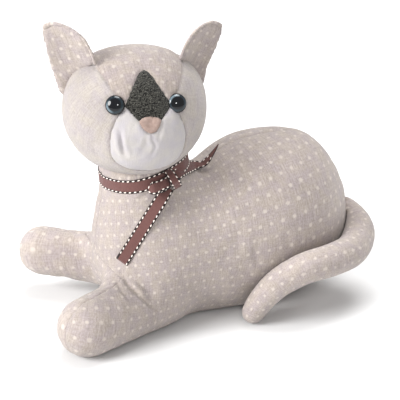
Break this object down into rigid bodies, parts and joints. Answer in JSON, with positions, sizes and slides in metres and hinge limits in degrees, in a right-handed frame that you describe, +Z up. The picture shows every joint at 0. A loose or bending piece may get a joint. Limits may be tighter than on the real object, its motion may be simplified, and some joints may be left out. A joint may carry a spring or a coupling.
{
  "type": "weighted fabric door stop",
  "caption": "Weighted fabric door stop: a lying stuffed cat with a turned head, patched face, glossy eyes, upright ears, a tail along its flank and a tied ribbon",
  "frame": {"origin": "On the floor, under the middle of the part's box", "axes": "+Z up; +X along the body towards the rump and tail, so the cat faces -X; -Y is its left flank, towards which its head looks"},
  "size_m": [0.3032, 0.1764, 0.2663],
  "materials": {
    "dotted_linen": "printed linen with small pale dots",
    "plain_linen": "plain slubby linen",
    "muzzle_cotton": "smooth off-white cotton",
    "tweed": "flecked grey-brown tweed",
    "nose_felt": "dusty pink felt",
    "base_cloth": "close canvas",
    "ribbon": "grosgrain with white saddle stitches",
    "eye_glass": "polished dome",
    "washer_plastic": "moulded",
    "sand": "bagged dry sand"
  },
  "bodies": {
    "root": {"body": "dotted_linen", "base_panel": "base_cloth", "weight_bag": "sand", "tail": "dotted_linen", "ribbon": "ribbon", "head": "plain_linen", "crown_panel": "dotted_linen", "bridge_panel": "tweed", "muzzle_panel": "muzzle_cotton", "nose": "nose_felt", "eye_left": "eye_glass", "eye_right": "eye_glass", "eye_washer_left": "washer_plastic", "eye_washer_right": "washer_plastic", "ear_left": "dotted_linen", "ear_right": "dotted_linen"}
  },
  "joints": []
}
